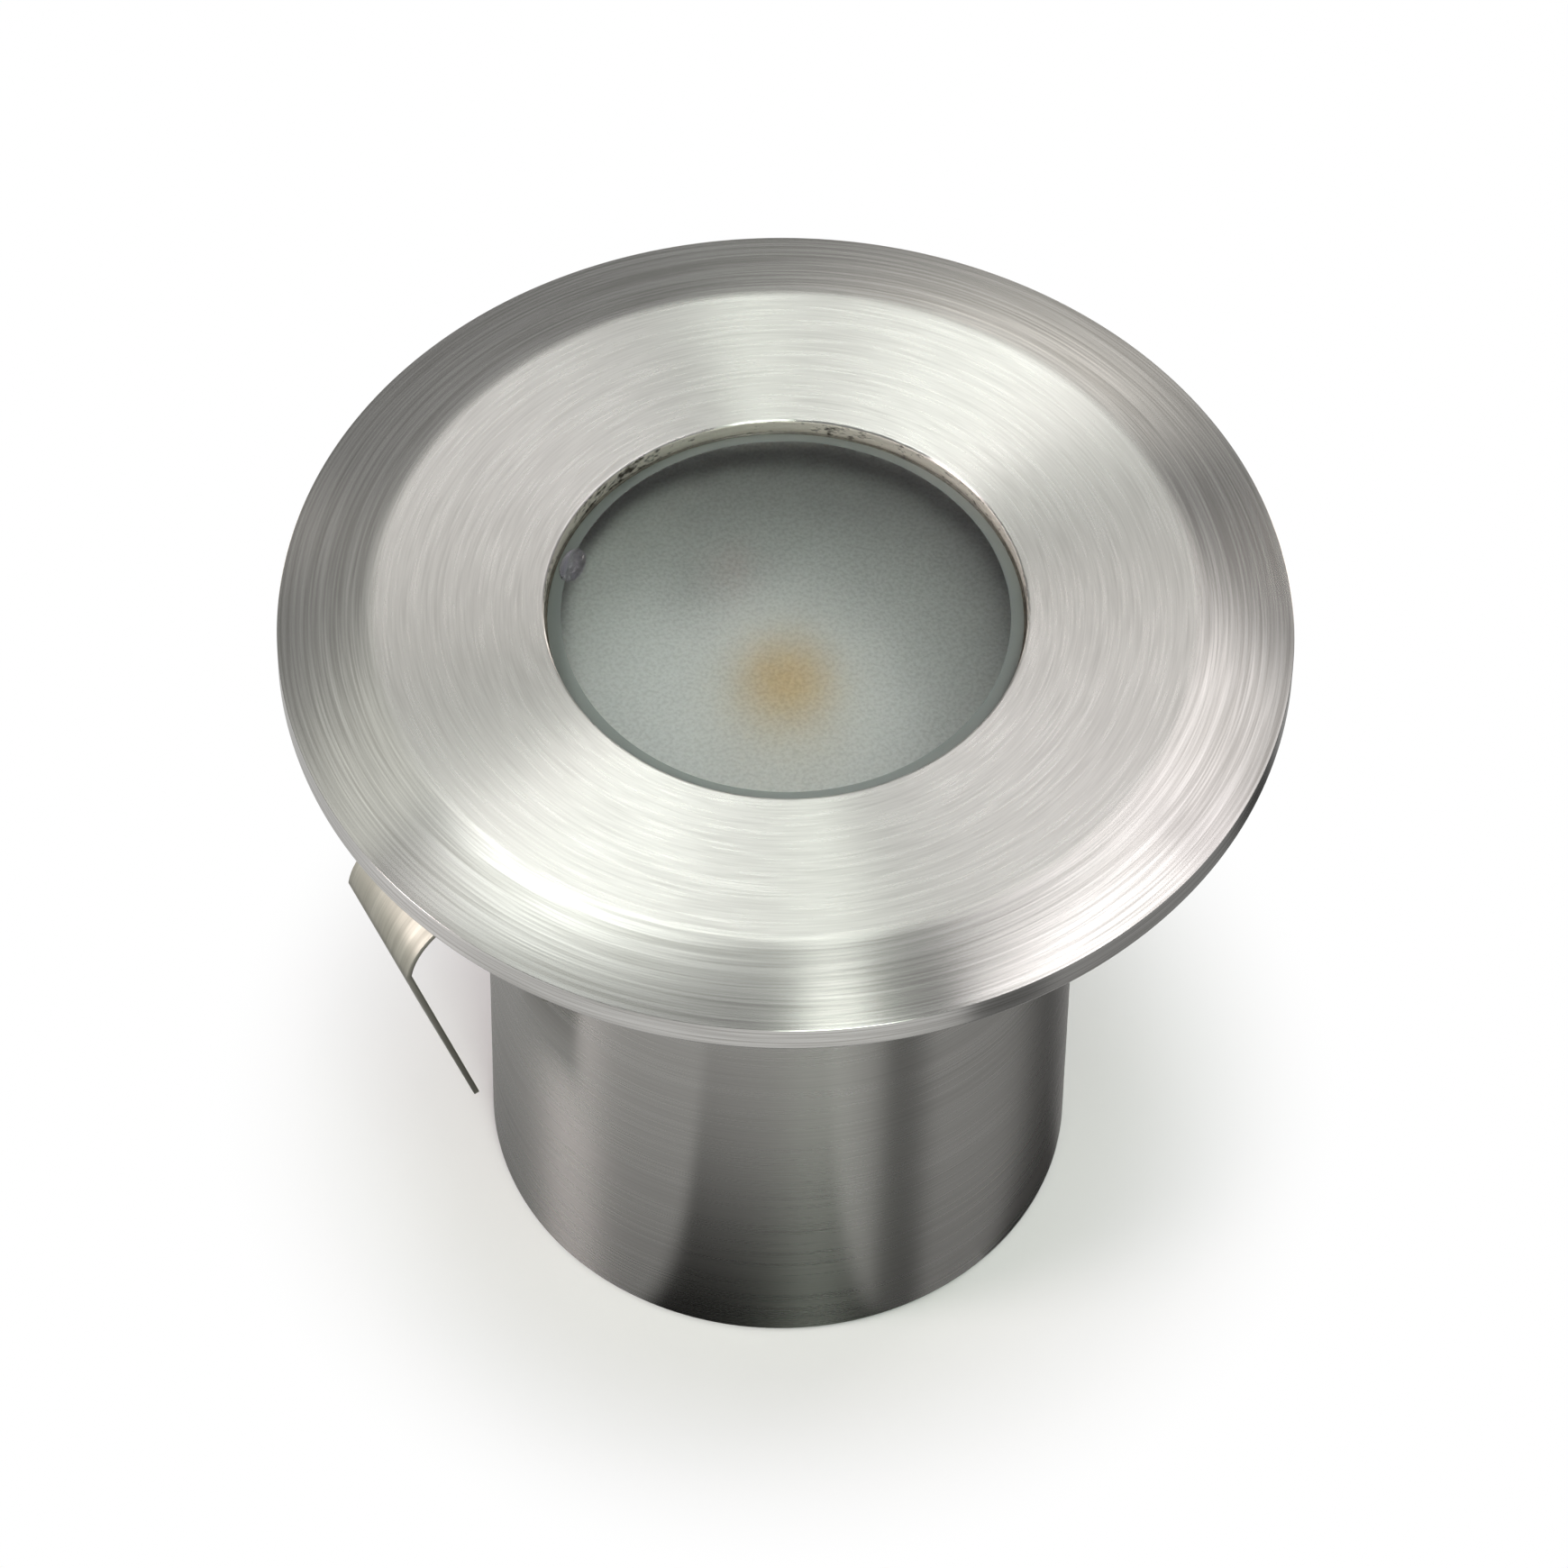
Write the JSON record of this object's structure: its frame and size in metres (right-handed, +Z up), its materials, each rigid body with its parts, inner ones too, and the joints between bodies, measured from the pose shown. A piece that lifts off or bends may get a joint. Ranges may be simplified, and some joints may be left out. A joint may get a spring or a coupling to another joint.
{
  "type": "deck light",
  "caption": "Round recessed deck light: bevelled stainless bezel, frosted glass window, plain barrel with two sprung side clips and a recessed cable gland.",
  "frame": {"origin": "centre of the barrel's lower edge, on which the light stands", "axes": "+Z up along the barrel to the window; the spring clips lie on -X (left) and +X (right)"},
  "size_m": [0.06, 0.06, 0.0492],
  "materials": {
    "brushed_steel": "circular brushed stainless steel",
    "spring_steel": "rolled stainless spring strip",
    "rivet_steel": "plain",
    "frosted_glass": "etched top, ground chamfer, clear edge and underside",
    "sealant": "clear silicone",
    "seal_rubber": "matt",
    "white_board": "white solder mask",
    "phosphor": "yellow silicone",
    "thermal_pad": "matt",
    "aluminium": "machined",
    "zinc_steel": "zinc plated",
    "green_board": "green solder mask",
    "ferrite": "ferrite",
    "component_sleeve": "sleeved",
    "component_black": "moulded",
    "terminal_plastic": "moulded",
    "brass": "turned",
    "nickel_brass": "nickel plated",
    "red_insulation": "silicone",
    "black_insulation": "silicone"
  },
  "bodies": {
    "housing": {"bezel": "brushed_steel", "housing_tube": "brushed_steel", "base_plate": "brushed_steel", "lens": "frosted_glass", "lens_gasket": "seal_rubber", "lens_adhesive": "sealant", "neck_o_ring": "seal_rubber", "led_board": "white_board", "led_package": "white_board", "led_phosphor": "phosphor", "thermal_pad": "thermal_pad", "heat_sink": "aluminium", "heat_sink_screws": "zinc_steel", "driver_board": "green_board", "driver_inductor": "ferrite", "driver_capacitors": "component_sleeve", "driver_chip": "component_black", "driver_resistors": "component_black", "bridge_rectifier": "component_black", "terminal_block": "terminal_plastic", "terminal_screws": "zinc_steel", "standoffs": "brass", "standoff_screws": "zinc_steel", "lead_positive": "red_insulation", "lead_negative": "black_insulation", "gland_body": "nickel_brass", "gland_washer": "seal_rubber", "gland_locknut": "nickel_brass", "gland_seal": "seal_rubber", "gland_nut": "nickel_brass", "clip_anchor_left": "spring_steel", "clip_anchor_right": "spring_steel", "clip_rivets_left": "rivet_steel", "clip_rivets_right": "rivet_steel"},
    "clip_left": {"clip_leaf_left": "spring_steel"},
    "clip_right": {"clip_leaf_right": "spring_steel"}
  },
  "joints": [
    {"name": "clip_left_spring", "type": "hinge", "parent": "housing", "child": "clip_left", "pos_m": [-0.02292, 0, 0.03972], "axis": [0, -1, 0], "range_deg": [0, 15], "stiffness_Nm_per_rad": 0.35},
    {"name": "clip_right_spring", "type": "hinge", "parent": "housing", "child": "clip_right", "pos_m": [0.02292, 0, 0.03972], "axis": [0, 1, 0], "range_deg": [0, 15], "stiffness_Nm_per_rad": 0.35}
  ]
}
